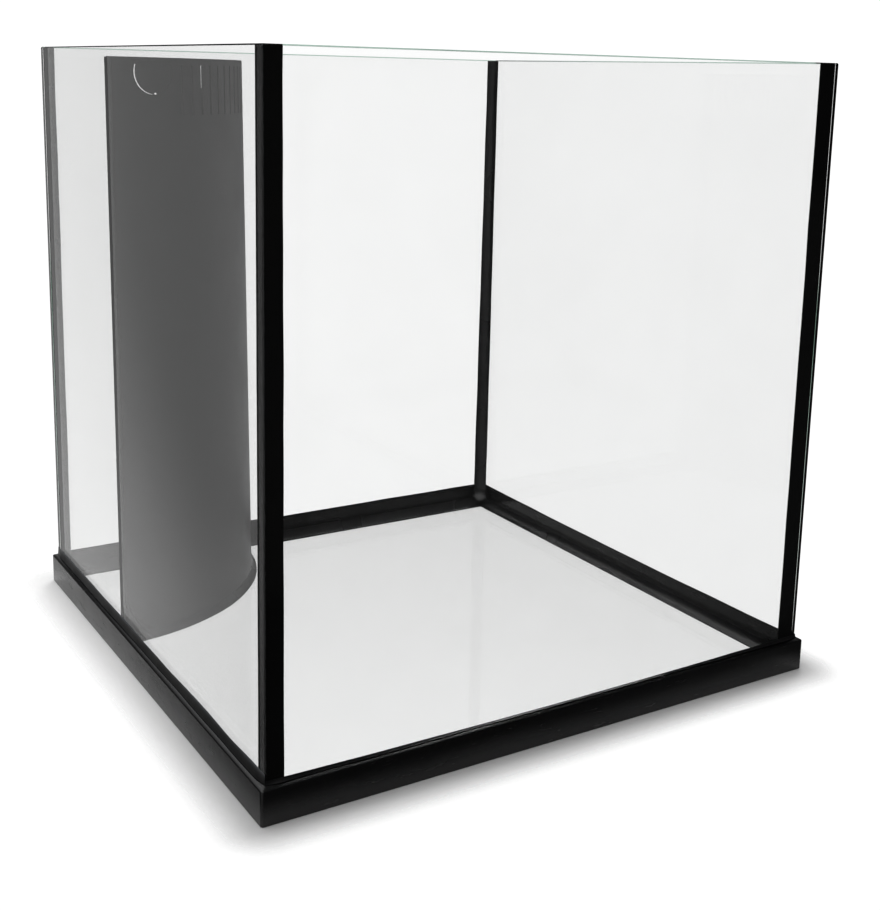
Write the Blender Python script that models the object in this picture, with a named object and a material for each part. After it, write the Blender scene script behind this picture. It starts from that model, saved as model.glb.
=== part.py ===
"""Rimless glass aquarium, a 610 mm cube with a quarter-round corner overflow.

Metres, +Z up.  The origin is on the floor under the middle of the tank.
+X runs to the right along the front pane, +Y runs from the front pane to the back pane.
"""
import math

import bmesh
import bpy
from mathutils import Matrix, Vector

# ---- Glass ----
TANK_SIDE = 0.610        # outside of the glass, left to right and front to back
RIM_Z = 0.6327           # height of the glass rim above the floor
PANE = 0.010             # thickness of the four walls
BOTTOM_PANE = 0.008      # thickness of the bottom pane

# ---- Sealant ----
GAP = 0.0003             # clearance between solids that touch on the real tank
BOND = 0.0016            # width of a sealed joint between two panes
BEAD = 0.0100            # leg of the bead along the inside of a joint
BEAD_HOLLOW = 0.16       # how far a tooled bead dips below its chord, as a share of its leg
RIM_RELIEF = 0.0005      # how far a corner seam stops short of the rim and of the outer faces

# ---- Base frame ----
FRAME_OVERHANG = 0.0061  # how far the frame stands out from the glass
FRAME_WEB = 0.0020       # the web that the glass stands on
FRAME_LIP = 0.0135       # how far the web reaches in under the glass
FRAME_FACE_Z = 0.0312    # top of the upright outer face
FRAME_SHOULDER = 0.0014  # width and height of the rounded shoulder over the outer face
FRAME_TOP_Z = 0.0345     # top of the frame at the glass
FRAME_FOOT = 0.0010      # rounding of the foot
FRAME_CORNER = 0.0030    # radius of the four upright corners
FRAME_BOND_WIDTH = 0.0023
# Top of the sealant line between the frame and the glass, laid by hand on each side.
FRAME_BOND_Z = {"front": 0.0382, "right": 0.0385, "back": 0.0382, "left": 0.0446}

# ---- Corner overflow ----
OVERFLOW_R_FOOT = 0.2235  # outer radius at the foot, about the inside corner of the glass
OVERFLOW_R_TOP = 0.2155   # outer radius at the top
OVERFLOW_WALL = 0.0032
OVERFLOW_TOP_Z = 0.6230
OVERFLOW_STEPS = 36       # facets around the quarter turn
OVERFLOW_BEAD = 0.0060    # leg of the beads along the wall's outside
FOOT_BEAD_HEIGHT = 0.0085
SLOT_FIRST = 23.0         # degrees around the wall from its left end
SLOT_PITCH = 4.0
SLOT_COUNT = 16
SLOT_WIDTH = 0.0028
SLOT_LOW_Z = 0.5650
SLOT_HIGH_Z = 0.6160
OPEN_SLOT = 2             # this slot's inner edge is cut back, so that light shows through it
OPEN_SLOT_RELIEF = 0.0032
OPEN_SLOT_LOW_Z = 0.5930

# ---- Return port in the overflow wall: a knock-out, cut through along its lower left ----
PORT_ARC = 0.0515         # centre, measured around the wall from its left end
PORT_Z = 0.6085
PORT_R = 0.0226
PORT_SHIFT = (0.0026, 0.0002)   # the knock-out disc sits this far right and up in its outline
PORT_CUT_END = 0.0492     # where the cut ends, around the wall
PORT_SCORE_WIDTH = 0.0010
PORT_SCORE_DEPTH = 0.0008
PORT_DOT_ARC = 0.0538
PORT_DOT = (0.0024, 0.0010)      # half width and half height

# ---- Holes in the bottom pane, inside the overflow ----
DRAIN_HOLE = (-0.150, 0.205, 0.0225)     # x, y, radius
RETURN_HOLE = (-0.212, 0.143, 0.0190)

# ---- Worked out from the above ----
HALF = TANK_SIDE / 2
INNER = HALF - PANE                      # inner faces of the walls
GLASS_LOW_Z = FRAME_WEB + GAP
FLOOR_Z = GLASS_LOW_Z + BOTTOM_PANE      # upper face of the bottom pane
BOTTOM_HALF = INNER - BOND
WALL_LOW_Z = FLOOR_Z + BOND              # foot of the overflow wall
CORNER_BEAD_Z = FLOOR_Z + BEAD + 2 * GAP  # corner beads start above the floor beads
CENTRE = Vector((-INNER, INNER, 0))      # axis of the overflow's quarter turn
CUT = 0.02                               # how far a cutter runs past the solid that it cuts


def clear_scene():
    for obj in list(bpy.data.objects):
        bpy.data.objects.remove(obj, do_unlink=True)


def collection(name, hidden=False):
    group = bpy.data.collections.new(name)
    bpy.context.scene.collection.children.link(group)
    group.hide_render = hidden
    return group


def material(name, colour, roughness, transmission=0.0, ior=1.5):
    mat = bpy.data.materials.new(name)
    mat.use_nodes = True
    shader = mat.node_tree.nodes["Principled BSDF"]
    shader.inputs["Base Color"].default_value = (*colour, 1)
    shader.inputs["Roughness"].default_value = roughness
    shader.inputs["Metallic"].default_value = 0.0
    shader.inputs["Transmission Weight"].default_value = transmission
    shader.inputs["IOR"].default_value = ior
    mat.diffuse_color = (*colour, 1)
    return mat


def add_object(name, bm, mat, group):
    """Close a bmesh into an object with outward normals."""
    bm.normal_update()
    bmesh.ops.recalc_face_normals(bm, faces=bm.faces[:])
    mesh = bpy.data.meshes.new(name)
    bm.to_mesh(mesh)
    bm.free()
    if mat:
        mesh.materials.append(mat)
    obj = bpy.data.objects.new(name, mesh)
    group.objects.link(obj)
    return obj


def add_cutter(name, bm, group):
    obj = add_object(name, bm, None, group)
    obj.hide_render = True
    obj.display_type = "WIRE"
    return obj


def subtract(obj, cutter):
    mod = obj.modifiers.new(cutter.name, "BOOLEAN")
    mod.operation = "DIFFERENCE"
    mod.solver = "EXACT"
    mod.object = cutter


def box_mesh(low, high):
    low = Vector(low)
    high = Vector(high)
    size = high - low
    bm = bmesh.new()
    matrix = Matrix.Translation((low + high) / 2) @ Matrix.Diagonal((*size, 1))
    bmesh.ops.create_cube(bm, size=1, matrix=matrix)
    return bm


def prism_mesh(outline, low, high):
    """A flat outline of (x, y) points, raised from z = low to z = high."""
    bm = bmesh.new()
    face = bm.faces.new([bm.verts.new((x, y, low)) for x, y in outline])
    raised = bmesh.ops.extrude_face_region(bm, geom=[face])["geom"]
    verts = [item for item in raised if isinstance(item, bmesh.types.BMVert)]
    bmesh.ops.translate(bm, vec=(0, 0, high - low), verts=verts)
    return bm


def bead_arc(leg_a, leg_b, steps=6):
    """The tooled face of a bead, from (leg_a, 0) to (0, leg_b), dipping below the chord."""
    dip = BEAD_HOLLOW * min(leg_a, leg_b)
    normal = Vector((leg_b, leg_a)).normalized()
    points = []
    for i in range(steps + 1):
        t = i / steps
        chord = Vector((leg_a * (1 - t), leg_b * t))
        points.append(chord - normal * dip * 4 * t * (1 - t))
    return points


def mitred_strip(name, profile, wall, turn, mat, group):
    """A strip along one side of the square, mitred into its neighbours.

    profile holds (d, z) points, with d measured inwards from the line at distance wall.
    turn is the number of quarter turns from the front side.
    """
    bm = bmesh.new()
    left = [bm.verts.new((-(wall - d - GAP), d - wall, z)) for d, z in profile]
    face = bm.faces.new(left)
    raised = bmesh.ops.extrude_face_region(bm, geom=[face])["geom"]
    for vert in raised:
        if isinstance(vert, bmesh.types.BMVert):
            vert.co.x = -vert.co.x
    obj = add_object(name, bm, mat, group)
    obj.rotation_euler.z = math.radians(90 * turn)
    return obj


# ---- Glass and frame ----

def build_panes(glass, group):
    side = INNER - BOND
    panes = {
        "front_pane": ((-HALF, -HALF), (HALF, -INNER)),
        "back_pane": ((-HALF, INNER), (HALF, HALF)),
        "left_pane": ((-HALF, -side), (-INNER, side)),
        "right_pane": ((INNER, -side), (HALF, side)),
    }
    for name, (low, high) in panes.items():
        add_object(name, box_mesh((*low, GLASS_LOW_Z), (*high, RIM_Z)), glass, group)


def build_bottom_pane(glass, group, cutters):
    low = (-BOTTOM_HALF, -BOTTOM_HALF, GLASS_LOW_Z)
    high = (BOTTOM_HALF, BOTTOM_HALF, FLOOR_Z)
    pane = add_object("bottom_pane", box_mesh(low, high), glass, group)
    for name, (x, y, radius) in (("drain_hole", DRAIN_HOLE), ("return_hole", RETURN_HOLE)):
        bm = bmesh.new()
        matrix = Matrix.Translation((x, y, FLOOR_Z))
        bmesh.ops.create_cone(bm, cap_ends=True, segments=48, radius1=radius, radius2=radius,
                              depth=2 * CUT, matrix=matrix)
        subtract(pane, add_cutter(name, bm, cutters))


def build_base_frame(plastic, group):
    """The frame's section turned in four steps makes a square ring with mitred corners."""
    outer = HALF + FRAME_OVERHANG
    inner = HALF + GAP
    section = [
        (HALF - FRAME_LIP, 0),
        (outer - FRAME_FOOT, 0),
        (outer, FRAME_FOOT),
        (outer, FRAME_FACE_Z),
        (outer - 0.3 * FRAME_SHOULDER, FRAME_FACE_Z + 0.7 * FRAME_SHOULDER),
        (outer - FRAME_SHOULDER, FRAME_FACE_Z + FRAME_SHOULDER),
        (inner, FRAME_TOP_Z),
        (inner, FRAME_WEB),
        (HALF - FRAME_LIP, FRAME_WEB),
    ]
    bm = bmesh.new()
    verts = [bm.verts.new((math.sqrt(2) * r, 0, z)) for r, z in section]
    for i, vert in enumerate(verts):
        bm.edges.new((vert, verts[(i + 1) % len(verts)]))
    bmesh.ops.spin(bm, geom=bm.verts[:] + bm.edges[:], cent=(0, 0, 0), axis=(0, 0, 1),
                   dvec=(0, 0, 0), angle=2 * math.pi, steps=4, use_merge=True)
    bmesh.ops.rotate(bm, verts=bm.verts[:], matrix=Matrix.Rotation(math.radians(45), 3, "Z"))
    bmesh.ops.recalc_face_normals(bm, faces=bm.faces[:])
    limit = HALF + FRAME_OVERHANG / 2
    corners = []
    for edge in bm.edges:
        upright = abs(edge.verts[0].co.z - edge.verts[1].co.z) > GAP
        outside = all(min(abs(v.co.x), abs(v.co.y)) > limit for v in edge.verts)
        if upright and outside:
            corners.append(edge)
    bmesh.ops.bevel(bm, geom=corners, offset=FRAME_CORNER, segments=4, profile=0.5,
                    affect="EDGES", clamp_overlap=True)
    add_object("base_frame", bm, plastic, group)


# ---- Sealant ----

SIDES = ("front", "right", "back", "left")


def build_floor_seams(sealant, group):
    """Each seam fills the joint beside the bottom pane and carries a bead above it."""
    profile = [(GAP, GLASS_LOW_Z + GAP), (BOND - GAP, GLASS_LOW_Z + GAP),
               (BOND - GAP, FLOOR_Z + GAP)]
    profile += [(GAP + a, FLOOR_Z + GAP + b) for a, b in bead_arc(BEAD, BEAD)]
    for turn, side in enumerate(SIDES):
        mitred_strip(f"floor_seam_{side}", profile, INNER, turn, sealant, group)


def build_frame_bonds(sealant, group):
    """A line of sealant on each side closes the frame's top edge against the glass."""
    slope = (FRAME_TOP_Z - FRAME_FACE_Z - FRAME_SHOULDER) / (FRAME_OVERHANG - FRAME_SHOULDER - GAP)
    low = FRAME_TOP_Z + 2 * GAP
    foot = low - slope * FRAME_BOND_WIDTH
    line = HALF + GAP
    for turn, side in enumerate(SIDES):
        top = FRAME_BOND_Z[side]
        profile = [(0, low), (-FRAME_BOND_WIDTH, foot),
                   (-0.45 * FRAME_BOND_WIDTH, 0.45 * foot + 0.55 * top),
                   (-0.12 * FRAME_BOND_WIDTH, top), (0, top)]
        mitred_strip(f"frame_bond_{side}", profile, line, turn, sealant, group)


def build_corner_seams(sealant, group):
    """The joint at a pane's edge, sealed over its full height, and the bead beside it."""
    edge = -PANE + RIM_RELIEF
    joint = [(edge, GAP), (-GAP, GAP), (-GAP, BOND - GAP), (edge, BOND - GAP)]
    bead = [(GAP + a, GAP + b) for a, b in bead_arc(BEAD, BEAD)] + [(GAP, BOND - GAP)]
    top = RIM_Z - RIM_RELIEF
    for name, sx, sy in (("front_left", 1, 1), ("front_right", -1, 1),
                         ("back_left", 1, -1), ("back_right", -1, -1)):
        bm = bmesh.new()
        joint_verts = [bm.verts.new((u, v, CORNER_BEAD_Z)) for u, v in joint]
        bead_verts = [bm.verts.new((u, v, CORNER_BEAD_Z)) for u, v in bead]
        joint_face = bm.faces.new(joint_verts)
        bead_face = bm.faces.new([joint_verts[1]] + bead_verts + [joint_verts[2]])
        raised = bmesh.ops.extrude_face_region(bm, geom=[joint_face, bead_face])["geom"]
        verts = [item for item in raised if isinstance(item, bmesh.types.BMVert)]
        bmesh.ops.translate(bm, vec=(0, 0, top - CORNER_BEAD_Z), verts=verts)
        lowered = bmesh.ops.extrude_face_region(bm, geom=[joint_face])["geom"]
        for vert in lowered:
            if isinstance(vert, bmesh.types.BMVert):
                vert.co.z = GLASS_LOW_Z + GAP
        if joint_face.is_valid:
            bmesh.ops.delete(bm, geom=[joint_face], context="FACES_ONLY")
        for vert in bm.verts:
            vert.co.x = -sx * (INNER - vert.co.x)
            vert.co.y = -sy * (INNER - vert.co.y)
        add_object(f"corner_seam_{name}", bm, sealant, group)


# ---- Overflow ----

def overflow_radius(z):
    share = (z - WALL_LOW_Z) / (OVERFLOW_TOP_Z - WALL_LOW_Z)
    return OVERFLOW_R_FOOT + share * (OVERFLOW_R_TOP - OVERFLOW_R_FOOT)


def on_overflow(arc, z, depth):
    """A point on the wall, arc metres around its outer face and depth metres into it."""
    angle = arc / overflow_radius(PORT_Z)
    radius = overflow_radius(z) - depth
    return CENTRE + Vector((radius * math.sin(angle), -radius * math.cos(angle), z))


def turned(section, start, end, steps):
    """A section of (r, z) points turned about the overflow's axis, between two headings."""
    bm = bmesh.new()
    face = bm.faces.new([bm.verts.new((0, -r, z)) for r, z in section])
    geom = [face] + face.verts[:] + face.edges[:]
    bmesh.ops.rotate(bm, verts=bm.verts[:], matrix=Matrix.Rotation(start, 3, "Z"))
    bmesh.ops.spin(bm, geom=geom, cent=(0, 0, 0), axis=(0, 0, 1), dvec=(0, 0, 0),
                   angle=end - start, steps=steps, use_merge=False)
    bmesh.ops.translate(bm, vec=CENTRE, verts=bm.verts[:])
    return bm


def radial_box(heading, width, low, high, inner, outer, skew=0.0):
    """A box along the radius at a heading, its width across it, its inner end moved by skew."""
    bm = box_mesh((-width / 2, -outer, low), (width / 2, -inner, high))
    for vert in bm.verts:
        if vert.co.y > -(inner + outer) / 2:
            vert.co.x += skew
    bmesh.ops.rotate(bm, verts=bm.verts[:],
                     matrix=Matrix.Rotation(math.radians(heading), 3, "Z"))
    bmesh.ops.translate(bm, vec=CENTRE, verts=bm.verts[:])
    return bm


def merge(bm, other):
    """Copy another bmesh into bm and free it."""
    mesh = bpy.data.meshes.new("merged")
    other.to_mesh(mesh)
    other.free()
    bm.from_mesh(mesh)
    bpy.data.meshes.remove(mesh)


def curved_plate(outline, depth_low, depth_high):
    """An outline of (arc, z) points made into a plate that follows the wall's curve."""
    bm = bmesh.new()
    face = bm.faces.new([bm.verts.new(on_overflow(a, z, depth_low)) for a, z in outline])
    raised = bmesh.ops.extrude_face_region(bm, geom=[face])["geom"]
    verts = [item for item in raised if isinstance(item, bmesh.types.BMVert)]
    for vert, (a, z) in zip(verts, outline):
        vert.co = on_overflow(a, z, depth_high)
    return bm


def circle_point(radius, degrees, shift=(0, 0)):
    angle = math.radians(degrees)
    return (PORT_ARC + shift[0] + radius * math.cos(angle),
            PORT_Z + shift[1] + radius * math.sin(angle))


def port_cut_outline(steps=14):
    """The crescent between the port's outline and the knock-out disc, below the slots' tops."""
    first = 180 - math.degrees(math.asin((SLOT_HIGH_Z - PORT_Z) / PORT_R))
    last = 180 + math.degrees(math.acos((PORT_ARC - PORT_CUT_END) / PORT_R))
    span = [first + (last - first) * i / steps for i in range(steps + 1)]
    outside = [circle_point(PORT_R, d) for d in span]
    inside = [circle_point(PORT_R, d, PORT_SHIFT) for d in reversed(span)]
    return outside + [(a, min(z, SLOT_HIGH_Z)) for a, z in inside]


def port_score(steps=30):
    """Pairs of points across the shallow score that marks the rest of the knock-out."""
    first = 180 + math.degrees(math.acos((PORT_ARC - PORT_CUT_END) / PORT_R)) + 12
    last = 360 + math.degrees(math.asin((SLOT_HIGH_Z - PORT_Z) / PORT_R))
    span = [first + (last - first) * i / steps for i in range(steps + 1)]
    outside = [circle_point(PORT_R, d) for d in span]
    inside = [circle_point(PORT_R - PORT_SCORE_WIDTH, d) for d in reversed(span)]
    return outside + inside


def build_overflow_wall(plastic, group, cutters):
    section = [(overflow_radius(WALL_LOW_Z), WALL_LOW_Z),
               (overflow_radius(OVERFLOW_TOP_Z), OVERFLOW_TOP_Z),
               (overflow_radius(OVERFLOW_TOP_Z) - OVERFLOW_WALL, OVERFLOW_TOP_Z),
               (overflow_radius(WALL_LOW_Z) - OVERFLOW_WALL, WALL_LOW_Z)]
    margin = BOND / OVERFLOW_R_TOP
    bm = turned(section, margin, math.pi / 2 - margin, OVERFLOW_STEPS)
    wall = add_object("overflow_wall", bm, plastic, group)

    inner = OVERFLOW_R_TOP - CUT
    outer = OVERFLOW_R_FOOT + CUT
    slots = bmesh.new()
    for i in range(SLOT_COUNT):
        heading = SLOT_FIRST + i * SLOT_PITCH
        merge(slots, radial_box(heading, SLOT_WIDTH, SLOT_LOW_Z, SLOT_HIGH_Z, inner, outer))
    subtract(wall, add_cutter("comb_slots", slots, cutters))

    heading = SLOT_FIRST + OPEN_SLOT * SLOT_PITCH
    relief_outer = overflow_radius(SLOT_HIGH_Z) - OVERFLOW_WALL / 4
    relief_inner = overflow_radius(SLOT_HIGH_Z) - 1.5 * OVERFLOW_WALL
    relief = radial_box(heading, SLOT_WIDTH, OPEN_SLOT_LOW_Z, SLOT_HIGH_Z,
                        relief_inner, relief_outer, OPEN_SLOT_RELIEF)
    subtract(wall, add_cutter("open_slot_relief", relief, cutters))

    port = curved_plate(port_cut_outline(), -CUT / 4, 1.5 * OVERFLOW_WALL)
    subtract(wall, add_cutter("return_port_cut", port, cutters))
    score = curved_plate(port_score(), -CUT / 4, PORT_SCORE_DEPTH)
    subtract(wall, add_cutter("return_port_score", score, cutters))
    dot = [(PORT_DOT_ARC + PORT_DOT[0] * math.cos(math.radians(a)),
            PORT_Z - PORT_R + PORT_DOT[1] * (1 + math.sin(math.radians(a))))
           for a in range(0, 360, 45)]
    subtract(wall, add_cutter("return_port_dot", curved_plate(dot, -CUT / 4, 1.5 * OVERFLOW_WALL),
                              cutters))

    # The wall's lower corners are cut away so that they clear the floor beads.
    reach = BEAD + 3 * GAP
    notch_top = FLOOR_Z + reach
    notches = box_mesh((-HALF, INNER - OVERFLOW_R_FOOT - CUT, FLOOR_Z - CUT),
                       (-INNER + reach, INNER, notch_top))
    merge(notches, box_mesh((-INNER, INNER - reach, FLOOR_Z - CUT),
                            (-INNER + OVERFLOW_R_FOOT + CUT, HALF, notch_top)))
    subtract(wall, add_cutter("bead_notches", notches, cutters))


def build_overflow_seams(sealant, group):
    """Two upright seams on the panes and one around the foot."""
    low = CORNER_BEAD_Z + GAP
    high = OVERFLOW_TOP_Z - RIM_RELIEF
    for name, mirrored in (("overflow_seam_left", False), ("overflow_seam_back", True)):
        outline = [(GAP, -OVERFLOW_WALL), (GAP, GAP + OVERFLOW_BEAD)]
        outline += [(GAP + a, GAP + b) for b, a in bead_arc(OVERFLOW_BEAD, OVERFLOW_BEAD)[1:]]
        outline += [(BOND - GAP, GAP), (BOND - GAP, -OVERFLOW_WALL)]
        bm = prism_mesh(outline, low, high)
        for vert in bm.verts:
            along = vert.co.x
            across = overflow_radius(vert.co.z) + vert.co.y
            if mirrored:
                vert.co.x = -INNER + across
                vert.co.y = INNER - along
            else:
                vert.co.x = -INNER + along
                vert.co.y = INNER - across
        add_object(name, bm, sealant, group)

    foot = overflow_radius(WALL_LOW_Z)
    base = FLOOR_Z + GAP
    section = [(foot - OVERFLOW_WALL, base)]
    bead = [(foot + GAP + a, base + b) for a, b in bead_arc(OVERFLOW_BEAD, FOOT_BEAD_HEIGHT)]
    section += bead
    section += [(foot + GAP, WALL_LOW_Z - GAP), (foot - OVERFLOW_WALL, WALL_LOW_Z - GAP)]
    start = math.asin((BEAD + 4 * GAP) / (foot - OVERFLOW_WALL))
    bm = turned(section, start, math.pi / 2 - start, OVERFLOW_STEPS)
    add_object("overflow_seam_foot", bm, sealant, group)


def main():
    clear_scene()
    tank = collection("aquarium_tank")
    cutters = collection("cutters", hidden=True)
    glass = material("float_glass", (0.86, 0.95, 0.90), 0.01, transmission=1.0, ior=1.52)
    sealant = material("black_silicone", (0.010, 0.010, 0.011), 0.30)
    frame_plastic = material("frame_plastic", (0.012, 0.012, 0.013), 0.28)
    overflow_plastic = material("overflow_plastic", (0.018, 0.018, 0.019), 0.42)

    build_panes(glass, tank)
    build_bottom_pane(glass, tank, cutters)
    build_base_frame(frame_plastic, tank)
    build_floor_seams(sealant, tank)
    build_frame_bonds(sealant, tank)
    build_corner_seams(sealant, tank)
    build_overflow_wall(overflow_plastic, tank, cutters)
    build_overflow_seams(sealant, tank)


main()
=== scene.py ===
import math

import bmesh
import bpy
from mathutils import Matrix, Vector, noise


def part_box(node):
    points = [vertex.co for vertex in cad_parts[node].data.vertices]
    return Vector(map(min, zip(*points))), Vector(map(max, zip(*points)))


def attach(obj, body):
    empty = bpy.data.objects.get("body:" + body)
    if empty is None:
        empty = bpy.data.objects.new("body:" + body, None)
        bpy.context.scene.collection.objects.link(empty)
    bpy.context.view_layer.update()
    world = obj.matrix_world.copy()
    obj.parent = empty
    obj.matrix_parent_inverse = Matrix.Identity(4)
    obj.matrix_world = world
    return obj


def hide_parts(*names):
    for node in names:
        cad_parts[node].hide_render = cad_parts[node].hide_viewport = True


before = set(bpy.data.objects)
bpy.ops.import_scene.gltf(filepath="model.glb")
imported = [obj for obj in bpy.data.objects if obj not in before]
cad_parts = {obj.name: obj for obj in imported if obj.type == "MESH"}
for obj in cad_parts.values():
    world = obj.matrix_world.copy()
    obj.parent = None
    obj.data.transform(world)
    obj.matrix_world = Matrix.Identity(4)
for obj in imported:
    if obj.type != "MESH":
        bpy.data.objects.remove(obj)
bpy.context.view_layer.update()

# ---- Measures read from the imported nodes, in metres ----
front_low, front_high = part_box("front_pane")
side_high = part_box("left_pane")[1]
bottom_low, bottom_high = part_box("bottom_pane")
frame_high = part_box("base_frame")[1]
wall_low, wall_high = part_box("overflow_wall")
foot_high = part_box("overflow_seam_foot")[1]
seam_low, seam_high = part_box("floor_seam_front")

HALF = front_high.x                    # outer faces of the glass
INNER = -front_high.y                  # inner faces of the walls
PANE = HALF - INNER
RIM_Z = front_high.z
GLASS_LOW_Z = front_low.z
FLOOR_Z = bottom_high.z                # upper face of the bottom pane
BOND = INNER - side_high.y             # width of a sealed joint
GAP = abs(seam_low.y + INNER)
BEAD = seam_high.y - seam_low.y        # leg of the inside beads
FRAME_OUT = frame_high.x - HALF        # how far the frame stands out from the glass
FRAME_TOP_Z = frame_high.z
CENTRE = Vector((-INNER, INNER, 0))    # axis of the overflow's quarter turn
WALL_LOW_Z = wall_low.z
WALL_TOP_Z = wall_high.z
R_FOOT = wall_high.x + INNER           # outer radius of the overflow at its foot
FOOT_BEAD_R = foot_high.x + INNER
FOOT_BEAD_TOP = foot_high.z

# ---- Finer measures of the same parts ----
CONTACT = 0.00004        # how far sealant sinks into the glass it is bonded to
ARRIS = 0.0011           # ground-off edges of the panes
RIM_RECESS = 0.0007      # how far the joints end below the rim
FACE_RECESS = 0.0003     # how far they lie below the panes' outer faces
BEAD_DIP = 0.16          # hollow of a tooled bead, as a share of its leg
FRAME_WEB = 0.0020       # thickness of the web that the glass stands on
FRAME_LIP = 0.0135       # how far the web reaches in under the glass
FRAME_FACE_Z = 0.0312    # top of the upright outer face
FRAME_SHOULDER = 0.0014  # rounded shoulder over the outer face
FRAME_FOOT = 0.0010      # rounding of the foot
FRAME_CORNER = 0.0030    # radius of the upright corners
FRAME_SOFT = 0.0004      # rounding of its smaller edges
FRAME_GAP = 0.0003       # between the frame and the glass
BOND_TOP_Z = {side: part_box(f"frame_bond_{side}")[1].z
              for side in ("front", "right", "back", "left")}
# How far each line of sealant over the frame sinks in mid-side, as a share of its height.
BOND_SAG = {"front": 0.85, "right": 0.65, "back": 0.10, "left": 0.05}
BOND_WIDTH = 0.0025      # width of such a line at its foot
BOND_EDGE = 0.00018      # its thickness where it runs out on the glass
BOND_TAPER = 0.016       # length over which it narrows towards a corner
R_TOP = 0.2155           # outer radius of the overflow at its top
WALL = 0.0032            # thickness of the overflow
WALL_SOFT = 0.0004       # rounding of its top edges
OVERFLOW_BEAD = 0.0060   # leg of its upright beads
SLOT_FIRST, SLOT_PITCH, SLOT_COUNT = 23.0, 4.0, 16     # degrees around the wall
SLOT_WIDTH, SLOT_LOW_Z, SLOT_HIGH_Z = 0.0028, 0.5650, 0.6160
# The slot that shows light: its place in the comb, how far its inner edge is cut back, and
# the foot of that cut.
OPEN_SLOT, OPEN_SLOT_RELIEF, OPEN_SLOT_LOW_Z = 2, 0.0032, 0.5930
PORT_ARC, PORT_Z, PORT_R = 0.0515, 0.6085, 0.0226   # centre, around the wall and up, and radius
PORT_SHIFT = (0.0026, 0.0002)      # how far the knock-out disc lies off the port's centre
PORT_CUT_END = 0.0492              # where the cut beside the disc ends, around the wall
PORT_SCORE_WIDTH, PORT_SCORE_DEPTH = 0.0010, 0.0008
PORT_DOT_ARC, PORT_DOT = 0.0538, (0.0024, 0.0010)   # centre, and half the width and height
HOLES = ((-0.150, 0.205, 0.0225), (-0.212, 0.143, 0.0190))   # x, y and radius
UPRIGHT_PITCH = 0.006    # between the sections of an upright bead
CLEAR = 0.001            # how far a hole's cutter runs past the bottom pane
OVERCUT = 0.005          # how far the port's cutters stand off the wall
BEYOND = 0.02            # how far the larger cutters run past the wall

# ---- Surroundings ----
FLOOR_HALF = 2.4                   # half the width of the floor
# Painted shade: the floor's colour is darker in front of the tank than behind it.
FLOOR_SHADES = (0.60, 0.92)        # in front of the tank and behind it
FLOOR_TURN = (-0.36, 0.10)         # Y over which one becomes the other
FLOOR_FADE = (0.004, 0.060)        # distance from the tank over which the floor fades out
BACKDROP = 0.90                    # brightness of the pale surroundings
LIGHT_BASE, LIGHT_LEAST = 0.62, 0.05
# Each row: a heading, the cosines to it where a change starts and where it is complete, and
# that change of the light.
LIGHT_LAYOUT = (
    ((-0.85, 0.53, 0.0), 0.69, 0.77, -0.32),       # unlit room on the left
    ((-0.85, 0.53, 0.0), 0.80, 0.95, -0.20),       # and its darker middle
    ((0.53, -0.85, -0.15), 0.30, 0.93, -0.54),     # unlit room in front
    ((0.55, 0.75, 0.40), 0.78, 0.93, -0.50),       # dark screen behind, on the right
    ((-0.42, 0.80, 0.42), 0.90, 0.96, -0.28),      # dark screen behind, on the left
    ((0.0, 0.0, -1.0), 0.36, 0.52, -0.38),         # the room's floor
    ((0.0, 0.0, 1.0), 0.35, 0.90, 0.75),           # overhead bank
    ((0.60, -0.50, 0.62), 0.72, 0.92, -1.15),      # its front right edge
    ((0.56, 0.10, 0.82), 0.86, 0.97, -0.95),       # and its right edge
    ((-0.10, 0.87, 0.49), 0.93, 0.985, -0.45),     # dark screen straight behind
    ((-0.26, 0.66, 0.70), 0.965, 0.990, 0.5),      # weak lamp above that screen
    ((0.47, 0.45, 0.76), 0.980, 0.995, 8.0),       # small lamp behind, on the right
)

# ---- Camera ----
CAMERA_LENS, CAMERA_SENSOR = 52.4956, 36.0
CAMERA_SHIFT = (-0.01363, -0.132)
CAMERA_PLACE = (-0.71175, -1.23162, 0.61385)
CAMERA_RIGHT = (0.850387, -0.525642, 0.023288)
CAMERA_UP = (0.082130, 0.176328, 0.980899)


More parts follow.
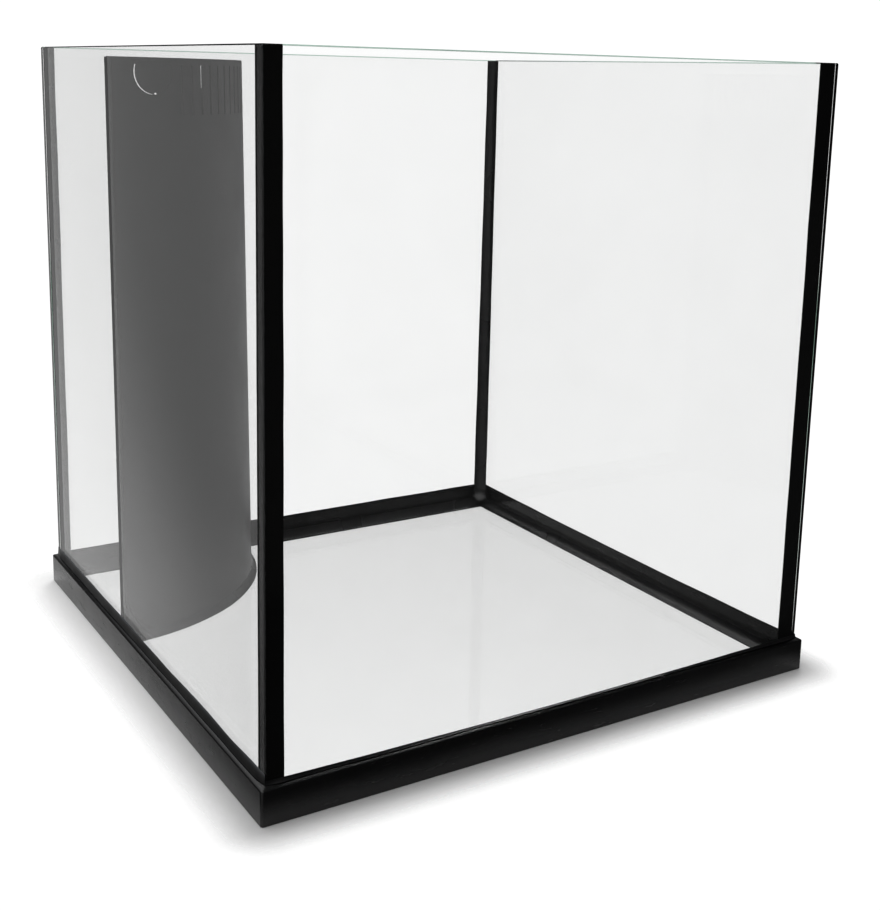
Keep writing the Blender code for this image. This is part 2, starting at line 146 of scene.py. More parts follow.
# =====================================================================
# Materials
# =====================================================================
class Nodes:
    """A short way to write a node tree."""

    def __init__(self, tree):
        self.tree = tree

    def add(self, kind, **values):
        node = self.tree.nodes.new(kind)
        for key, value in values.items():
            if hasattr(node, key):
                setattr(node, key, value)
            else:
                node.inputs[key.replace("_", " ")].default_value = value
        return node

    def link(self, a, b):
        self.tree.links.new(a, b)

    def noise(self, coords, scale, detail=4.0, rough=0.55, stretch=None, distortion=0.0):
        if stretch:
            mapping = self.add("ShaderNodeMapping")
            mapping.inputs["Scale"].default_value = stretch
            self.link(coords, mapping.inputs["Vector"])
            coords = mapping.outputs["Vector"]
        node = self.add("ShaderNodeTexNoise", Scale=scale, Detail=detail, Roughness=rough,
                        Distortion=distortion)
        self.link(coords, node.inputs["Vector"])
        return node.outputs["Fac"]

    def remap(self, value, low, high, to_low, to_high, smooth=False):
        node = self.add("ShaderNodeMapRange")
        node.interpolation_type = "SMOOTHSTEP" if smooth else "LINEAR"
        for key, number in zip(("From Min", "From Max", "To Min", "To Max"),
                               (low, high, to_low, to_high)):
            node.inputs[key].default_value = number
        self.link(value, node.inputs["Value"])
        return node.outputs["Result"]

    def math(self, operation, a, b):
        node = self.add("ShaderNodeMath", operation=operation)
        for socket, value in zip(node.inputs, (a, b)):
            if isinstance(value, (int, float)):
                socket.default_value = value
            else:
                self.link(value, socket)
        return node.outputs[0]

    def mix(self, factor, a, b):
        node = self.add("ShaderNodeMix", data_type="RGBA")
        if isinstance(factor, (int, float)):
            node.inputs[0].default_value = factor
        else:
            self.link(factor, node.inputs[0])
        for socket, value in ((node.inputs[6], a), (node.inputs[7], b)):
            if isinstance(value, tuple):
                socket.default_value = (*value, 1)
            else:
                self.link(value, socket)
        return node.outputs[2]

    def bump(self, height, strength, distance, normal=None):
        node = self.add("ShaderNodeBump", Strength=strength, Distance=distance)
        self.link(height, node.inputs["Height"])
        if normal:
            self.link(normal, node.inputs["Normal"])
        return node.outputs["Normal"]


def new_material(name):
    mat = bpy.data.materials.new(name)
    mat.use_nodes = True
    n = Nodes(mat.node_tree)
    shader = mat.node_tree.nodes["Principled BSDF"]
    coords = n.add("ShaderNodeTexCoord").outputs["Object"]
    return mat, n, shader, coords


def glass_material(name, roughness, ripple, frosted):
    """Clear glass with a faint ripple, or frosted where its edge was ground."""
    mat, n, shader, coords = new_material(name)
    shader.inputs["IOR"].default_value = 1.52
    shader.inputs["Transmission Weight"].default_value = 1.0
    haze = n.noise(coords, 9.0, 5.0, 0.6, distortion=0.8)
    shade = n.remap(haze, 0.35, 0.75, 1.0, 0.985)
    tint = n.add("ShaderNodeCombineColor")
    for socket in tint.inputs:
        n.link(shade, socket)
    n.link(tint.outputs[0], shader.inputs["Base Color"])
    n.link(n.remap(haze, 0.45, 0.8, roughness[0], roughness[1]), shader.inputs["Roughness"])
    if frosted:
        grind = n.noise(coords, 2600.0, 2.0, 0.7)
        n.link(n.bump(grind, 0.25, 0.0002), shader.inputs["Normal"])
    else:
        wave = n.noise(coords, 5.0, 1.0, 0.4)
        n.link(n.bump(wave, ripple, 0.001), shader.inputs["Normal"])
    absorption = n.add("ShaderNodeVolumeAbsorption", Density=1.7)
    absorption.inputs["Color"].default_value = (0.66, 0.78, 0.725, 1)
    output = mat.node_tree.nodes["Material Output"]
    n.link(absorption.outputs[0], output.inputs["Volume"])
    return mat


def silicone_material():
    """The free surface of the sealant: satin, drawn out along the tool's path."""
    mat, n, shader, coords = new_material("black_silicone")
    drawn = n.noise(coords, 9.0, 2.0, 0.4)
    fine = n.noise(coords, 900.0, 3.0, 0.6)
    n.link(n.mix(drawn, (0.0035, 0.0036, 0.0040), (0.0070, 0.0072, 0.0078)),
           shader.inputs["Base Color"])
    n.link(n.remap(drawn, 0.3, 0.7, 0.25, 0.32), shader.inputs["Roughness"])
    first = n.bump(drawn, 0.02, 0.0012)
    n.link(n.bump(fine, 0.05, 0.0003, first), shader.inputs["Normal"])
    return mat


def bonded_material():
    """Sealant seen through the glass it is bonded to: no gloss of its own, faint mottling."""
    mat, n, shader, coords = new_material("silicone_bonded")
    mottle = n.noise(coords, 140.0, 4.0, 0.6, distortion=0.4)
    n.link(n.mix(mottle, (0.0020, 0.0021, 0.0023), (0.0052, 0.0054, 0.0058)),
           shader.inputs["Base Color"])
    shader.inputs["Specular IOR Level"].default_value = 0.0
    n.link(n.remap(mottle, 0.3, 0.7, 0.6, 0.8), shader.inputs["Roughness"])
    return mat


def feather_material():
    """The line of sealant over the frame: it thins out upwards, so its top edge lets light in."""
    mat, n, shader, coords = new_material("silicone_feathered")
    split = n.add("ShaderNodeSeparateXYZ")
    n.link(coords, split.inputs[0])
    wobble = n.noise(coords, 45.0, 4.0, 0.6)
    height = n.math("ADD", split.outputs["Z"], n.remap(wobble, 0.2, 0.8, -0.0008, 0.0008))
    thin = n.remap(height, BOND_TOP_Z["left"] - 0.0045, BOND_TOP_Z["left"], 0.0, 1.0, smooth=True)
    n.link(n.mix(thin, (0.0040, 0.0042, 0.0048), (0.085, 0.092, 0.105)),
           shader.inputs["Base Color"])
    n.link(n.remap(wobble, 0.3, 0.7, 0.28, 0.42), shader.inputs["Roughness"])
    n.link(n.bump(wobble, 0.3, 0.001), shader.inputs["Normal"])
    return mat


def frame_material():
    """Semi-gloss moulded plastic, worn here and there; paler towards the foot, a painted
    reflection of the floor.
    """
    mat, n, shader, coords = new_material("frame_plastic")
    broad = n.noise(coords, 14.0, 5.0, 0.6, distortion=0.5)
    scuff = n.noise(coords, 90.0, 6.0, 0.7, stretch=(0.25, 0.25, 1.6))
    grain = n.noise(coords, 1500.0, 2.0, 0.6)
    split = n.add("ShaderNodeSeparateXYZ")
    n.link(coords, split.inputs[0])
    # Painted reflection of the floor: the base colour turns paler towards the foot.
    height = n.math("ADD", split.outputs["Z"], n.remap(broad, 0.2, 0.8, -0.004, 0.004))
    foot = n.remap(height, 0.002, 0.024, 1.0, 0.0, smooth=True)
    plain = n.mix(broad, (0.0025, 0.0025, 0.0028), (0.0045, 0.0045, 0.0050))
    n.link(n.mix(foot, plain, (0.0300, 0.0295, 0.0300)), shader.inputs["Base Color"])
    worn = n.remap(scuff, 0.55, 0.8, 0.0, 0.14)
    n.link(n.math("ADD", n.remap(broad, 0.3, 0.7, 0.20, 0.27), worn),
           shader.inputs["Roughness"])
    first = n.bump(grain, 0.10, 0.00025)
    n.link(n.bump(broad, 0.25, 0.0015, first), shader.inputs["Normal"])
    return mat


def overflow_material():
    """Satin moulded plastic with faint upright draw marks."""
    mat, n, shader, coords = new_material("overflow_plastic")
    broad = n.noise(coords, 10.0, 5.0, 0.6, distortion=0.4)
    draw = n.noise(coords, 260.0, 3.0, 0.6, stretch=(1.0, 1.0, 0.03))
    grain = n.noise(coords, 1200.0, 3.0, 0.65)
    n.link(n.mix(broad, (0.0165, 0.0165, 0.0170), (0.0275, 0.0275, 0.0280)),
           shader.inputs["Base Color"])
    n.link(n.remap(broad, 0.3, 0.7, 0.38, 0.50), shader.inputs["Roughness"])
    first = n.bump(draw, 0.06, 0.0006)
    n.link(n.bump(grain, 0.14, 0.0003, first), shader.inputs["Normal"])
    return mat


GLASS = glass_material("float_glass", (0.0, 0.012), 0.02, False)
GLASS_EDGE = glass_material("float_glass_edge", (0.10, 0.22), 0.0, True)
SILICONE = silicone_material()
BONDED = bonded_material()
FEATHER = feather_material()
FRAME_PLASTIC = frame_material()
OVERFLOW_PLASTIC = overflow_material()


# =====================================================================
# Mesh helpers
# =====================================================================
def wander(t, seed, reach, amount):
    """A smooth seeded wander of about +-amount, with features about reach long."""
    return amount * 1.6 * noise.noise(Vector((t / reach, seed * 3.71, 0.37)))


def skin(bm, rings, tags=None, caps=True):
    """Faces between rings of points; tags gives a material index for each side of a ring.

    caps closes the first and the last ring.
    """
    rows = [[bm.verts.new(p) for p in ring] for ring in rings]
    count = len(rows[0])
    for a, b in zip(rows, rows[1:]):
        for i in range(count):
            j = (i + 1) % count
            face = bm.faces.new((a[i], a[j], b[j], b[i]))
            face.material_index = tags[i] if tags else 0
    if caps:
        bm.faces.new(list(reversed(rows[0])))
        bm.faces.new(rows[-1])


def finish_piece(name, bm, materials, nodes, smooth_angle=35.0):
    """Make a bmesh into the visible piece that stands for CAD nodes."""
    bmesh.ops.recalc_face_normals(bm, faces=bm.faces[:])
    mesh = bpy.data.meshes.new(name)
    bm.to_mesh(mesh)
    bm.free()
    for mat in materials:
        mesh.materials.append(mat)
    obj = bpy.data.objects.new(name, mesh)
    bpy.context.scene.collection.objects.link(obj)
    shade(mesh, smooth_angle)
    place(obj, nodes)
    return obj


def shade(mesh, smooth_angle):
    """Smooth shading, with sharp edges from an angle in degrees upwards."""
    mesh.shade_smooth()
    mesh.set_sharp_from_angle(angle=math.radians(smooth_angle))


def place(obj, nodes):
    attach(obj, "root")
    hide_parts(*nodes)


def bead_curve(leg_a, leg_b, dip, steps=12):
    """The tooled face of a bead, from (leg_a, 0) to (0, leg_b)."""
    normal = Vector((leg_b, leg_a)).normalized()
    depth = dip * min(leg_a, leg_b)
    points = []
    for i in range(steps + 1):
        t = i / steps
        points.append(Vector((leg_a * (1 - t), leg_b * t)) - normal * depth * 4 * t * (1 - t))
    return points


def box_bm(low, high):
    low, high = Vector(low), Vector(high)
    bm = bmesh.new()
    matrix = Matrix.Translation((low + high) / 2) @ Matrix.Diagonal((*(high - low), 1))
    bmesh.ops.create_cube(bm, size=1, matrix=matrix)
    return bm


def cut(target, cutters):
    """Subtract a list of bmeshes from an object's mesh and apply the result."""
    helpers = []
    for i, bm in enumerate(cutters):
        bmesh.ops.recalc_face_normals(bm, faces=bm.faces[:])
        mesh = bpy.data.meshes.new(f"cutter_{i}")
        bm.to_mesh(mesh)
        bm.free()
        helper = bpy.data.objects.new(f"cutter_{i}", mesh)
        bpy.context.scene.collection.objects.link(helper)
        helpers.append(helper)
        modifier = target.modifiers.new(f"cut_{i}", "BOOLEAN")
        modifier.operation = "DIFFERENCE"
        modifier.solver = "EXACT"
        modifier.object = helper
    bpy.context.view_layer.update()
    result = bpy.data.meshes.new_from_object(
        target.evaluated_get(bpy.context.evaluated_depsgraph_get()))
    target.modifiers.clear()
    target.data = result
    for helper in helpers:
        bpy.data.objects.remove(helper)


# =====================================================================
# Glass
# =====================================================================
def build_pane(name, low, high):
    """A pane with ground-off edges; everything but its two large faces has the edge finish."""
    bm = box_bm(low, high)
    bmesh.ops.bevel(bm, geom=bm.edges[:], offset=ARRIS, segments=1, affect="EDGES",
                    clamp_overlap=True)
    size = Vector(high) - Vector(low)
    thin = min(range(3), key=lambda i: size[i])
    bm.normal_update()
    for face in bm.faces:
        face.material_index = 0 if abs(face.normal[thin]) > 0.99 else 1
    return finish_piece(f"{name}_glass", bm, [GLASS, GLASS_EDGE], [name], 1.0)


def build_bottom_pane():
    """The bottom pane, with its two drilled holes and the ground-off edges of those."""
    obj = build_pane("bottom_pane", bottom_low, bottom_high)
    count = 96
    cutters = []
    for x, y, radius in HOLES:
        rings = []
        wide = radius + ARRIS + CLEAR
        for r, z in ((wide, FLOOR_Z + CLEAR), (radius, FLOOR_Z - ARRIS),
                     (radius, GLASS_LOW_Z + ARRIS), (wide, GLASS_LOW_Z - CLEAR)):
            rings.append([(x + r * math.cos(2 * math.pi * i / count),
                           y + r * math.sin(2 * math.pi * i / count), z) for i in range(count)])
        bm = bmesh.new()
        skin(bm, rings, tags=[1] * count)
        cutters.append(bm)
    cut(obj, cutters)
    shade(obj.data, 20.0)


for pane_name in ("front_pane", "back_pane", "left_pane", "right_pane"):
    build_pane(pane_name, *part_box(pane_name))
build_bottom_pane()


# =====================================================================
# Base frame
# =====================================================================
def square_ring(offset, z, steps=8):
    """A rounded square at a distance outside the glass, its corners struck from one centre."""
    radius = max(0.0, FRAME_CORNER - (FRAME_OUT - offset))
    middle = HALF + offset - radius
    points = []
    for turn in range(4):
        sx, sy = ((1, 1), (-1, 1), (-1, -1), (1, -1))[turn]
        for i in range(steps + 1):
            angle = math.radians(90 * turn + 90 * i / steps)
            points.append((sx * middle + radius * math.cos(angle),
                           sy * middle + radius * math.sin(angle), z))
    return points


def build_base_frame():
    """The frame's section taken round the square: foot, face, shoulder, ledge, glass side, web."""
    section = [(-FRAME_LIP, 0.0), (FRAME_OUT - FRAME_FOOT, 0.0)]
    for i in range(1, 6):
        angle = math.radians(90 * i / 5)
        section.append((FRAME_OUT - FRAME_FOOT * (1 - math.sin(angle)),
                        FRAME_FOOT * (1 - math.cos(angle))))
    slope = Vector((-(FRAME_OUT - FRAME_SHOULDER), FRAME_TOP_Z - FRAME_FACE_Z - FRAME_SHOULDER))
    lean = math.atan2(-slope.x, slope.y)
    for i in range(8):
        angle = lean * i / 7
        section.append((FRAME_OUT - FRAME_SHOULDER * (1 - math.cos(angle)),
                        FRAME_FACE_Z + FRAME_SHOULDER * math.sin(angle)))
    section += [(0.0010, FRAME_TOP_Z - FRAME_SOFT), (0.0005, FRAME_TOP_Z),
                (FRAME_GAP, FRAME_TOP_Z), (FRAME_GAP, FRAME_WEB),
                (-FRAME_LIP + FRAME_SOFT, FRAME_WEB), (-FRAME_LIP, FRAME_WEB - FRAME_SOFT)]
    bm = bmesh.new()
    rings = [square_ring(offset, z) for offset, z in section]
    skin(bm, rings + [rings[0]], caps=False)
    bmesh.ops.remove_doubles(bm, verts=bm.verts[:], dist=1e-6)
    finish_piece("base_frame_moulding", bm, [FRAME_PLASTIC], ["base_frame"],
                 30.0)


build_base_frame()


# =====================================================================
# Sealant
# =====================================================================
def stations(low, high, pitch):
    """Evenly spaced values from low to high, about pitch apart."""
    count = max(2, round((high - low) / pitch))
    return [low + (high - low) * i / count for i in range(count + 1)]


def corner_seam(name, sx, sy, seed, dab=0.003, fill=0.22, swell=0.0):
    """The joint at a pane's edge with its inside bead, and the dab where three beads meet.

    sx and sy say where the corner lies. dab is the extra reach of the dab, and fill how far its
    hollow is filled. swell is how much further the bead reaches along X at its foot than at its
    top.
    """
    outer = -PANE + FACE_RECESS
    groove = ARRIS - FACE_RECESS + 1.4 * CONTACT

    def ring(z, leg, dip):
        wide = leg + swell * (RIM_Z - z) / RIM_Z if leg > BOND else leg
        bead = [(a - CONTACT, b - CONTACT) for a, b in bead_curve(wide, leg, dip)]
        outline = [(outer, -groove), (-PANE + ARRIS + CONTACT, -CONTACT)] + bead
        outline += [(-CONTACT, BOND + CONTACT), (-PANE + ARRIS + CONTACT, BOND + CONTACT),
                    (outer, BOND + groove), (outer + 0.0004, BOND / 2)]
        return [Vector((-sx * (INNER - u), -sy * (INNER - v), z)) for u, v in outline]

    tags = [1, 1] + [0] * 12 + [1, 1, 1, 0, 0]
    rings = [ring(z, BOND, BEAD_DIP) for z in (GLASS_LOW_Z + GAP, FLOOR_Z - 0.0002)]
    top = RIM_Z - RIM_RECESS
    spread = BEAD + dab
    for z in [FLOOR_Z + 0.0001 + spread * i / 14 for i in range(14)]:
        up = (z - FLOOR_Z) / spread
        flare = dab * (1 - math.sqrt(max(0.0, 1 - (1 - up) ** 2))) + 0.35 * dab * (1 - up)
        dip = BEAD_DIP - fill * math.sin(math.pi * min(1, up)) ** 2
        rings.append(ring(z, BEAD * 1.1 + flare, dip))
    for z in stations(FLOOR_Z + spread, top - 0.0005, UPRIGHT_PITCH):
        leg = BEAD + wander(z, seed, 0.055, 0.00035)
        dip = BEAD_DIP + wander(z, seed + 0.5, 0.04, 0.03)
        rings.append(ring(z, leg, dip))
    rings.append(ring(top, BEAD - 0.0012, BEAD_DIP))
    bm = bmesh.new()
    skin(bm, rings, tags)
    finish_piece(f"{name}_bead", bm, [SILICONE, BONDED], [name], 40.0)


corner_seam("corner_seam_front_left", 1, 1, 1)
corner_seam("corner_seam_front_right", -1, 1, 2)
corner_seam("corner_seam_back_left", 1, -1, 3)
corner_seam("corner_seam_back_right", -1, -1, 4, dab=0.006, fill=0.45, swell=0.0040)


def side_strip(name, reach, turn, sections, tags, materials, slot_nodes):
    """Sections across one side of the square, mitred; a section holds (offset, z) points.

    reach is the distance from the middle at which the offset, measured outwards, is 0.
    """
    matrix = Matrix.Rotation(math.radians(90 * turn), 4, "Z")
    rings = []
    for share, section in sections:
        rings.append([matrix @ Vector((share * (reach + offset), -(reach + offset), z))
                      for offset, z in section])
    bm = bmesh.new()
    skin(bm, rings, tags)
    finish_piece(name, bm, materials, slot_nodes, 40.0)


def floor_seam(side, turn):
    """The joint along one edge of the bottom pane, with its inside bead."""
    def section(leg_in, leg_up, dip):
        bead = [(CONTACT - a, FLOOR_Z - CONTACT + b)
                for a, b in bead_curve(leg_in, leg_up, dip)]
        joint = [(CONTACT, GLASS_LOW_Z + GAP), (-BOND - CONTACT, GLASS_LOW_Z + GAP),
                 (-BOND - CONTACT, FLOOR_Z - CONTACT)]
        return joint + bead

    sections = []
    for share in stations(-1.0, 1.0, 0.02):
        along = share * INNER
        sections.append((share, section(BEAD + wander(along, 10 + turn, 0.07, 0.0004),
                                        BEAD + wander(along, 20 + turn, 0.07, 0.0004),
                                        BEAD_DIP + wander(along, 30 + turn, 0.05, 0.03))))
    tags = [0, 1, 1] + [0] * 12 + [1]
    side_strip(f"floor_seam_{side}_bead", INNER, turn, sections, tags, [SILICONE, BONDED],
               [f"floor_seam_{side}"])


def frame_bond(side, turn):
    """A smoothed line of sealant that closes the gap between the frame's top and the glass.

    It sinks towards mid-side by BOND_SAG and tapers towards the corners.
    """
    low = FRAME_TOP_Z - 0.0002
    rise = BOND_TOP_Z[side] - low

    def section(width, top):
        points = [(-CONTACT, low), (width * 0.6, low)]
        for i in range(9):
            t = i / 8
            points.append((width * (1 - t) ** 1.7 + BOND_EDGE * t,
                           low + 0.0001 + (top - low - 0.0001) * t ** 0.9))
        points.append((-CONTACT, top))
        return points

    sections = []
    for share in stations(-1.0, 1.0, 0.012):
        along = share * HALF
        end = max(0.0, 1 - (1 - abs(share)) * HALF / BOND_TAPER)
        width = BOND_WIDTH + wander(along, 40 + turn, 0.05, 0.0004)
        sag = BOND_SAG[side] * (1 - share * share)
        top = low + rise * (1 - sag) * (0.90 + wander(along, 50 + turn, 0.06, 0.10))
        sections.append((share, section(width * (1 - 0.75 * end), top)))
    side_strip(f"frame_bond_{side}_line", HALF, turn, sections, None, [FEATHER],
               [f"frame_bond_{side}"])


for quarter, side_name in enumerate(("front", "right", "back", "left")):
    floor_seam(side_name, quarter)
    frame_bond(side_name, quarter)


# =====================================================================
# Corner overflow
# =====================================================================
def wall_radius(z):
    """Outer radius of the tapered wall at a height."""
    share = (z - WALL_LOW_Z) / (WALL_TOP_Z - WALL_LOW_Z)
    return R_FOOT + share * (R_TOP - R_FOOT)


def on_wall(arc, z, depth):
    """A point at an arc length around the wall, at a depth under its outer face."""
    angle = arc / wall_radius(PORT_Z)
    radius = wall_radius(z) - depth
    return CENTRE + Vector((radius * math.sin(angle), -radius * math.cos(angle), z))


def turned_rings(section_at, start, end, steps):
    """Rings of points around the overflow's axis; section_at gives (radius, z) at an angle."""
    rings = []
    for i in range(steps + 1):
        angle = start + (end - start) * i / steps
        rings.append([CENTRE + Vector((r * math.sin(angle), -r * math.cos(angle), z))
                      for r, z in section_at(angle)])
    return rings


def radial_box(heading, width, low, high, inner, outer, skew=0.0):
    """A cutter through the wall at a heading in degrees; skew moves its inner end sideways."""
    bm = box_bm((-width / 2, -outer, low), (width / 2, -inner, high))
    for vert in bm.verts:
        if vert.co.y > -(inner + outer) / 2:
            vert.co.x += skew
    matrix = Matrix.Translation(CENTRE) @ Matrix.Rotation(math.radians(heading), 4, "Z")
    bmesh.ops.transform(bm, matrix=matrix, verts=bm.verts[:])
    return bm


def joined(parts):
    """Several bmeshes as one."""
    bm = bmesh.new()
    for part in parts:
        mesh = bpy.data.meshes.new("part")
        part.to_mesh(mesh)
        part.free()
        bm.from_mesh(mesh)
        bpy.data.meshes.remove(mesh)
    return bm


def curved_strip(pairs, depth_low, depth_high):
    """A strip between pairs of (arc, z) points, made into a plate that follows the wall."""
    bm = bmesh.new()
    skin(bm, [[on_wall(*a, depth_low), on_wall(*b, depth_low),
               on_wall(*b, depth_high), on_wall(*a, depth_high)] for a, b in pairs])
    return bm


def circle_point(radius, degrees, shift=(0, 0)):
    """A point on a circle around the port's centre, as (arc, z)."""
    angle = math.radians(degrees)
    return (PORT_ARC + shift[0] + radius * math.cos(angle),
            PORT_Z + shift[1] + radius * math.sin(angle))


def build_overflow_wall():
    """The wall with its comb slots, its port, and its feet cut back around the glass beads."""
    soft = WALL_SOFT

    def section(_angle):
        # Extra levels keep long thin faces away from the slots, where they would shade badly.
        levels = (FLOOR_Z + BEAD + 0.004, SLOT_LOW_Z - 0.003, SLOT_HIGH_Z + 0.003)
        outer = [(wall_radius(z), z) for z in (WALL_LOW_Z, *levels, WALL_TOP_Z - soft)]
        inner = [(wall_radius(z) - WALL, z) for z in (*reversed(levels), WALL_LOW_Z)]
        top = WALL_TOP_Z
        return outer + [(wall_radius(top) - 0.3 * soft, top - 0.3 * soft),
                        (wall_radius(top) - soft, top),
                        (wall_radius(top) - WALL + soft, top),
                        (wall_radius(top) - WALL + 0.3 * soft, top - 0.3 * soft),
                        (wall_radius(top) - WALL, top - soft)] + inner

    margin = BOND / R_TOP
    bm = bmesh.new()
    skin(bm, turned_rings(section, margin, math.pi / 2 - margin, 144))
    wall = finish_piece("overflow_wall_plate", bm, [OVERFLOW_PLASTIC],
                        ["overflow_wall"])

    inner, outer = R_TOP - BEYOND, R_FOOT + BEYOND
    cutters = [joined([radial_box(SLOT_FIRST + i * SLOT_PITCH, SLOT_WIDTH, SLOT_LOW_Z,
                                  SLOT_HIGH_Z, inner, outer) for i in range(SLOT_COUNT)])]
    heading = SLOT_FIRST + OPEN_SLOT * SLOT_PITCH
    cutters.append(radial_box(heading, SLOT_WIDTH, OPEN_SLOT_LOW_Z, SLOT_HIGH_Z,
                              wall_radius(SLOT_HIGH_Z) - 1.5 * WALL,
                              wall_radius(SLOT_HIGH_Z) - WALL / 4, OPEN_SLOT_RELIEF))

    # The port: the cut through the wall along its lower left, the score along the rest, and
    # the small opening at its foot.
    first = 180 - math.degrees(math.asin((SLOT_HIGH_Z - PORT_Z) / PORT_R))
    last = 180 + math.degrees(math.acos((PORT_ARC - PORT_CUT_END) / PORT_R))
    pairs = []
    for i in range(25):
        degrees = first + (last - first) * i / 24
        a, z = circle_point(PORT_R, degrees, PORT_SHIFT)
        pairs.append((circle_point(PORT_R, degrees), (a, min(z, SLOT_HIGH_Z))))
    cutters.append(curved_strip(pairs, -OVERCUT, 1.5 * WALL))

    end = 360 + math.degrees(math.asin((SLOT_HIGH_Z - PORT_Z) / PORT_R))
    start = last + 12
    pairs = []
    for i in range(49):
        degrees = start + (end - start) * i / 48
        pairs.append((circle_point(PORT_R, degrees),
                      circle_point(PORT_R - PORT_SCORE_WIDTH, degrees)))
    cutters.append(curved_strip(pairs, -OVERCUT, PORT_SCORE_DEPTH))

    pairs = []
    for i in range(9):
        degrees = 180 * (i + 0.02) / 8.04
        across = PORT_DOT[1] * math.sin(math.radians(degrees))
        a = PORT_DOT_ARC - PORT_DOT[0] * math.cos(math.radians(degrees))
        z = PORT_Z - PORT_R + PORT_DOT[1]
        pairs.append(((a, z - across), (a, z + across)))
    cutters.append(curved_strip(pairs, -OVERCUT, 1.5 * WALL))

    # Room for the beads along the bottom pane, at both ends of the wall.
    reach = BEAD + 0.0009
    cutters.append(box_bm((-HALF, INNER - R_FOOT - BEYOND, FLOOR_Z - BEYOND),
                          (-INNER + reach, INNER, FLOOR_Z + reach)))
    cutters.append(box_bm((-INNER, INNER - reach, FLOOR_Z - BEYOND),
                          (-INNER + R_FOOT + BEYOND, HALF, FLOOR_Z + reach)))
    cut(wall, cutters)
    shade(wall.data, 25.0)


def overflow_seam(name, mirrored, seed):
    """The joint between the wall's end and a pane, with the bead on the wall's outside."""
    rings = []
    low, high = FLOOR_Z + BEAD * 0.5, WALL_TOP_Z - RIM_RECESS
    for z in stations(low, high, UPRIGHT_PITCH):
        leg = OVERFLOW_BEAD + wander(z, seed, 0.05, 0.0004)
        bead = [(b - CONTACT, a) for a, b in bead_curve(leg, leg, 0.14, 8)]
        outline = [(-CONTACT, -WALL)] + bead + [(BOND + CONTACT, 0.0), (BOND + CONTACT, -WALL)]
        ring = []
        for along, across in outline:
            distance = wall_radius(z) + across
            if mirrored:
                ring.append(Vector((-INNER + distance, INNER - along, z)))
            else:
                ring.append(Vector((-INNER + along, INNER - distance, z)))
        rings.append(ring)
    bm = bmesh.new()
    skin(bm, rings, [1] + [0] * 8 + [0, 0, 0])
    finish_piece(f"{name}_bead", bm, [SILICONE, BONDED], [name], 40.0)


def overflow_foot_seam():
    """The joint under the wall, with the bead around the outside of its foot."""
    foot = wall_radius(WALL_LOW_Z)
    leg = FOOT_BEAD_R - foot
    height = FOOT_BEAD_TOP - FLOOR_Z

    def section(angle):
        across = leg + wander(angle, 61, 0.22, 0.0004)
        up = height + wander(angle, 62, 0.2, 0.0004)
        bead = [(foot + a, FLOOR_Z - CONTACT + b)
                for a, b in bead_curve(across, up, 0.13, 10)]
        return [(foot - WALL, FLOOR_Z - CONTACT)] + bead + [(foot, WALL_LOW_Z + 0.0002),
                                                            (foot - WALL, WALL_LOW_Z + 0.0002)]

    margin = BEAD * 0.6 / foot
    bm = bmesh.new()
    skin(bm, turned_rings(section, margin, math.pi / 2 - margin, 120),
         [1] + [0] * 10 + [0, 0, 0])
    finish_piece("overflow_seam_foot_bead", bm, [SILICONE, BONDED],
                 ["overflow_seam_foot"], 40.0)


build_overflow_wall()
overflow_seam("overflow_seam_left", False, 71)
overflow_seam("overflow_seam_back", True, 72)
overflow_foot_seam()


# =====================================================================
# Floor, light and camera
# =====================================================================
def build_floor():
    """A pale floor, with painted shade darker in front of the tank, that runs out smoothly into
    the pale surroundings.
    """
    bm = bmesh.new()
    bmesh.ops.create_grid(bm, x_segments=24, y_segments=24, size=FLOOR_HALF)
    mesh = bpy.data.meshes.new("floor")
    bm.to_mesh(mesh)
    bm.free()
    floor = bpy.data.objects.new("floor", mesh)
    bpy.context.scene.collection.objects.link(floor)
    mat, n, shader, coords = new_material("floor_paper")
    shader.inputs["Roughness"].default_value = 0.8
    shader.inputs["Specular IOR Level"].default_value = 0.2
    split = n.add("ShaderNodeSeparateXYZ")
    n.link(coords, split.inputs[0])
    # Painted shade: darker in front of the tank, paler behind it.
    lit = n.remap(split.outputs["Y"], *FLOOR_TURN, 0.0, 1.0, smooth=True)
    front, behind = [(grey,) * 3 for grey in FLOOR_SHADES]
    n.link(n.mix(lit, front, behind), shader.inputs["Base Color"])
    across = n.math("SUBTRACT", n.math("ABSOLUTE", split.outputs["X"], 0.0), HALF)
    along = n.math("SUBTRACT", n.math("ABSOLUTE", split.outputs["Y"], 0.0), HALF)
    nearest = n.math("MAXIMUM", across, along)
    across = n.math("MAXIMUM", across, 0.0)
    along = n.math("MAXIMUM", along, 0.0)
    away = n.math("SQRT", n.math("ADD", n.math("MULTIPLY", across, across),
                                 n.math("MULTIPLY", along, along)), 0.0)
    outside = n.remap(away, *FLOOR_FADE, 0.0, 1.0, smooth=True)
    inside = n.math("LESS_THAN", nearest, 0.0)
    fade = n.math("MAXIMUM", outside, inside)
    clear = n.add("ShaderNodeBsdfTransparent")
    blend = n.add("ShaderNodeMixShader")
    n.link(fade, blend.inputs[0])
    n.link(shader.outputs[0], blend.inputs[1])
    n.link(clear.outputs[0], blend.inputs[2])
    n.link(blend.outputs[0], mat.node_tree.nodes["Material Output"].inputs["Surface"])
    mesh.materials.append(mat)


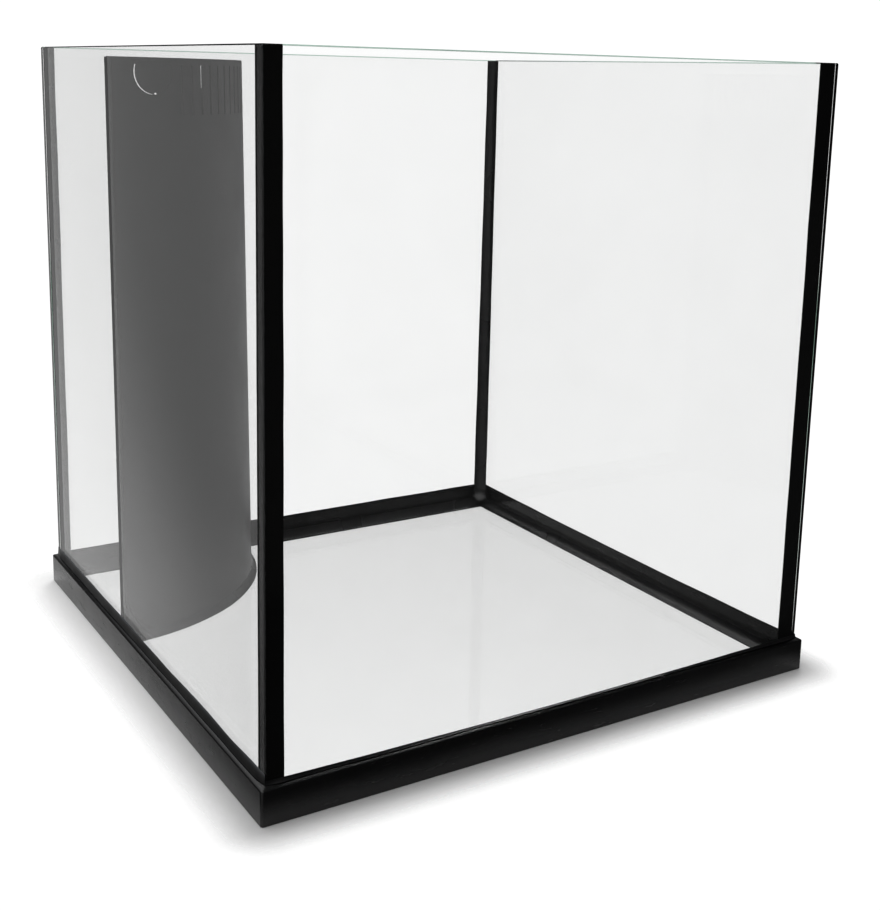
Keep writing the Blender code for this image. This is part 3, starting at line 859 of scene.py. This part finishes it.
def build_world():
    """Soft studio light over a pale backdrop.

    The backdrop is what is seen directly and through the glass. Everything that bounces off
    a surface comes from LIGHT_LAYOUT: a large overhead bank, two lamps, dark screens behind,
    and unlit room in front and on the left.
    """
    world = bpy.data.worlds.new("studio")
    bpy.context.scene.world = world
    world.use_nodes = True
    n = Nodes(world.node_tree)
    direction = n.add("ShaderNodeTexCoord").outputs["Generated"]

    def lobe(axis, low, high, amount):
        dot = n.add("ShaderNodeVectorMath", operation="DOT_PRODUCT")
        n.link(direction, dot.inputs[0])
        dot.inputs[1].default_value = Vector(axis).normalized()
        return n.remap(dot.outputs["Value"], low, high, 0.0, amount, smooth=True)

    level = LIGHT_BASE
    for axis, low, high, amount in LIGHT_LAYOUT:
        level = n.math("ADD", level, lobe(axis, low, high, amount))
    level = n.math("MAXIMUM", level, LIGHT_LEAST)
    # The ray depth counts the step to the background, so a ray that has only passed through
    # glass has 1 more of it than transmissions. A ray that has bounced has at least 2 more.
    path = n.add("ShaderNodeLightPath")
    passing = n.math("MAXIMUM", path.outputs["Is Camera Ray"],
                     path.outputs["Is Transmission Ray"])
    others = n.math("SUBTRACT", path.outputs["Ray Depth"], path.outputs["Transmission Depth"])
    seen = n.math("MULTIPLY", passing, n.math("LESS_THAN", others, 1.5))
    level = n.math("ADD", n.math("MULTIPLY", level, n.math("SUBTRACT", 1.0, seen)),
                   n.math("MULTIPLY", seen, BACKDROP))
    background = world.node_tree.nodes["Background"]
    background.inputs["Color"].default_value = (1.0, 1.0, 1.0, 1)
    n.link(level, background.inputs["Strength"])


def build_camera():
    """The camera as fitted to the tank's corners in the photo."""
    data = bpy.data.cameras.new("camera")
    data.lens, data.sensor_width, data.sensor_fit = CAMERA_LENS, CAMERA_SENSOR, "AUTO"
    data.shift_x, data.shift_y = CAMERA_SHIFT
    data.clip_start, data.clip_end = 0.05, 60.0
    camera = bpy.data.objects.new("camera", data)
    bpy.context.scene.collection.objects.link(camera)
    right, up = Vector(CAMERA_RIGHT), Vector(CAMERA_UP)
    back = right.cross(up).normalized()
    basis = Matrix((right, up, back)).transposed().to_4x4()
    camera.matrix_world = Matrix.Translation(CAMERA_PLACE) @ basis
    bpy.context.scene.camera = camera


build_floor()
build_world()
build_camera()
scene = bpy.context.scene
scene.view_settings.view_transform = "Standard"
scene.view_settings.look = "Medium High Contrast"
scene.cycles.max_bounces = 24
scene.cycles.transmission_bounces = 24
scene.cycles.glossy_bounces = 12
scene.cycles.transparent_max_bounces = 16
scene.cycles.use_denoising = True
